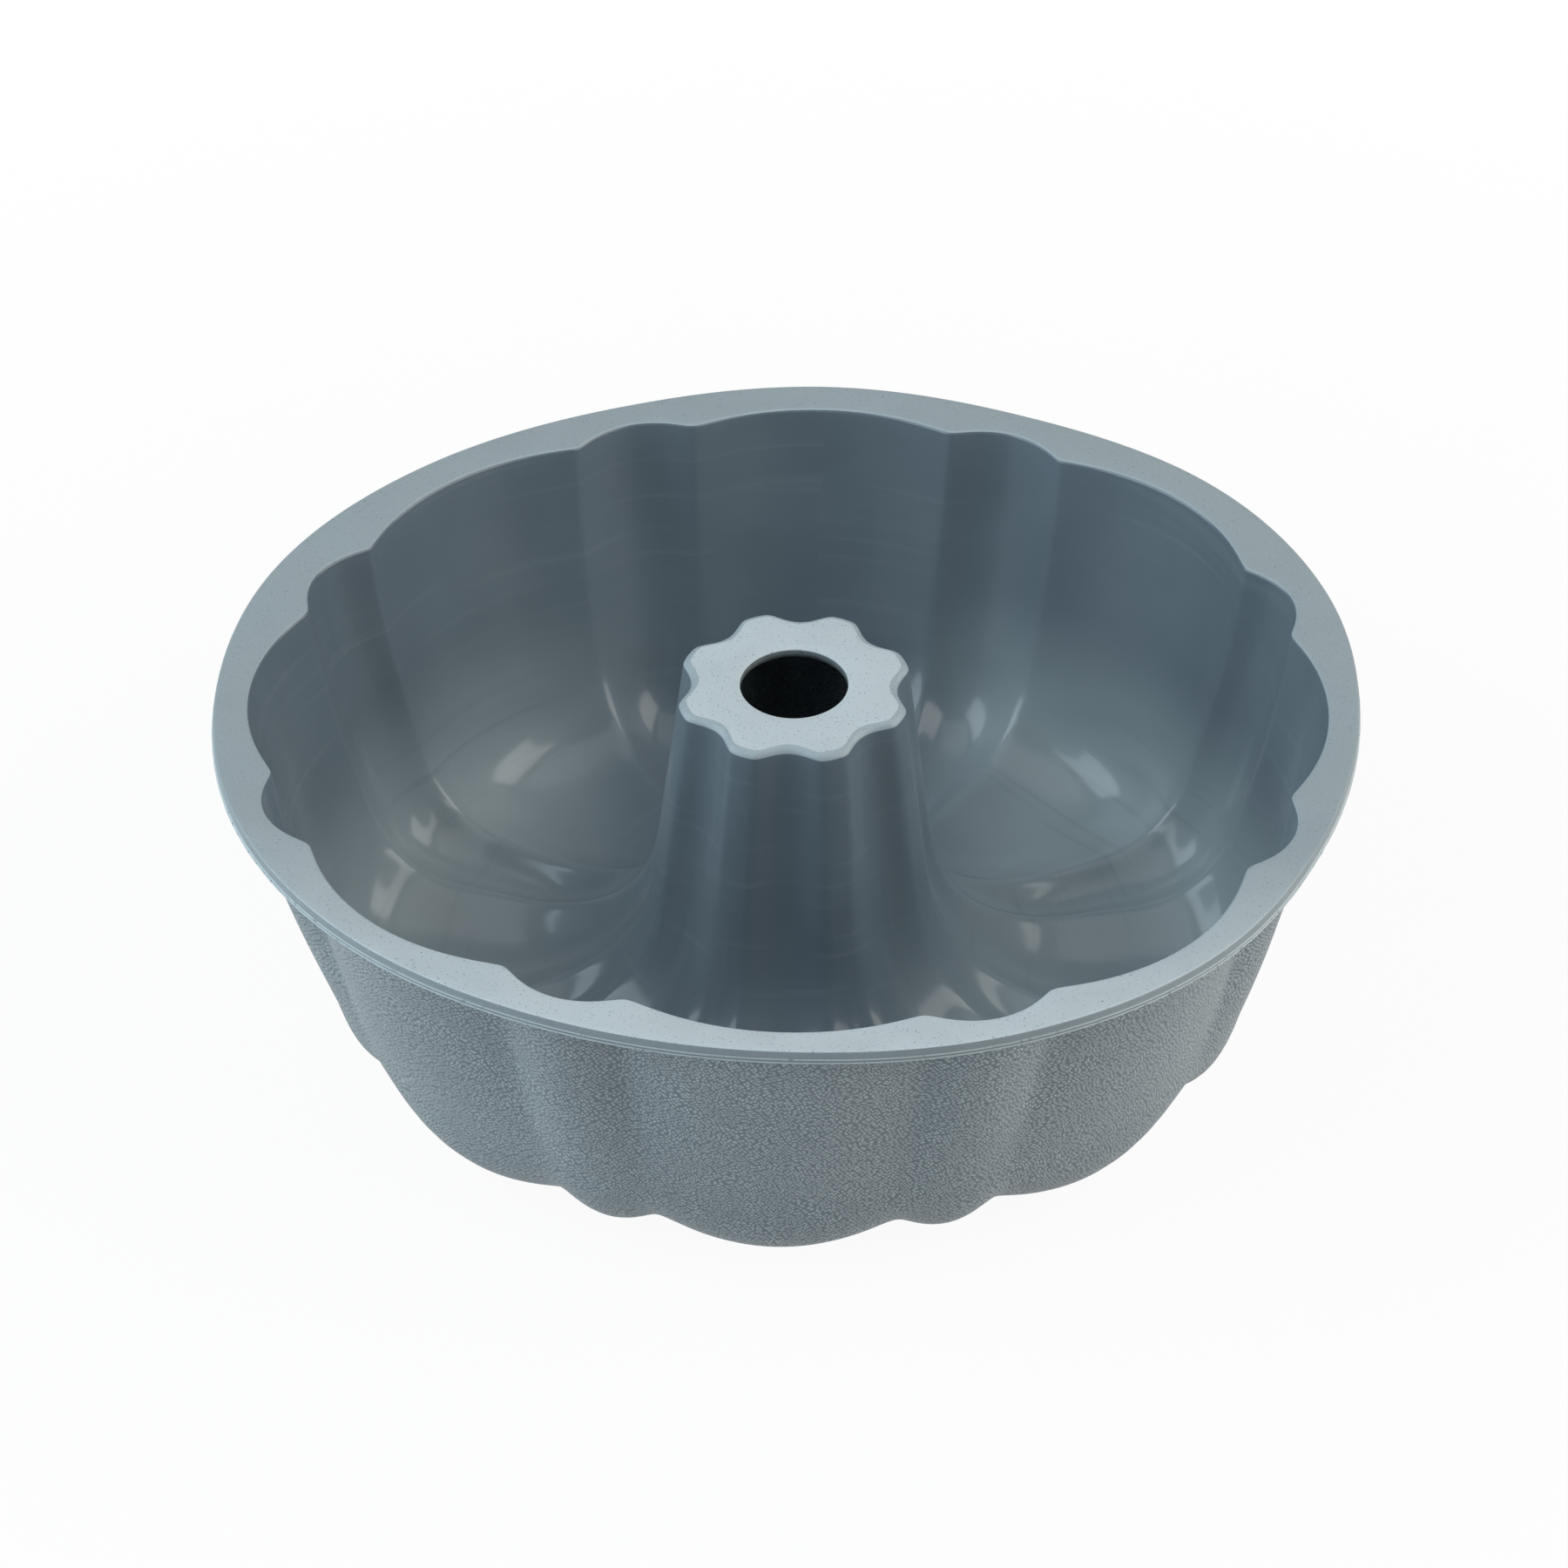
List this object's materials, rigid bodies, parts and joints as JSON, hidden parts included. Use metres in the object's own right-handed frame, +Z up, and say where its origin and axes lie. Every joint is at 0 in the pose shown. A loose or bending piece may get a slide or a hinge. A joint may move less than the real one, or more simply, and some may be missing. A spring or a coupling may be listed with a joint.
{
  "type": "fluted ring-cake pan",
  "caption": "Round silicone cake pan with a flat flange, a wall of wide and narrow flutes, a rounded ring trough and a hollow fluted tube with a round hole in its flat star-shaped top.",
  "frame": {"origin": "on the surface that the pan stands on, under the middle of its tube", "axes": "+Z up along the tube, out of the pan's mouth; -Y through the middle of a wide flute"},
  "size_m": [0.26, 0.26, 0.0826],
  "materials": {
    "silicone": "slate-grey silicone, satin inside, matt on the flange, fine pebble grain outside"
  },
  "bodies": {
    "root": {"silicone_pan": "silicone"}
  },
  "joints": []
}
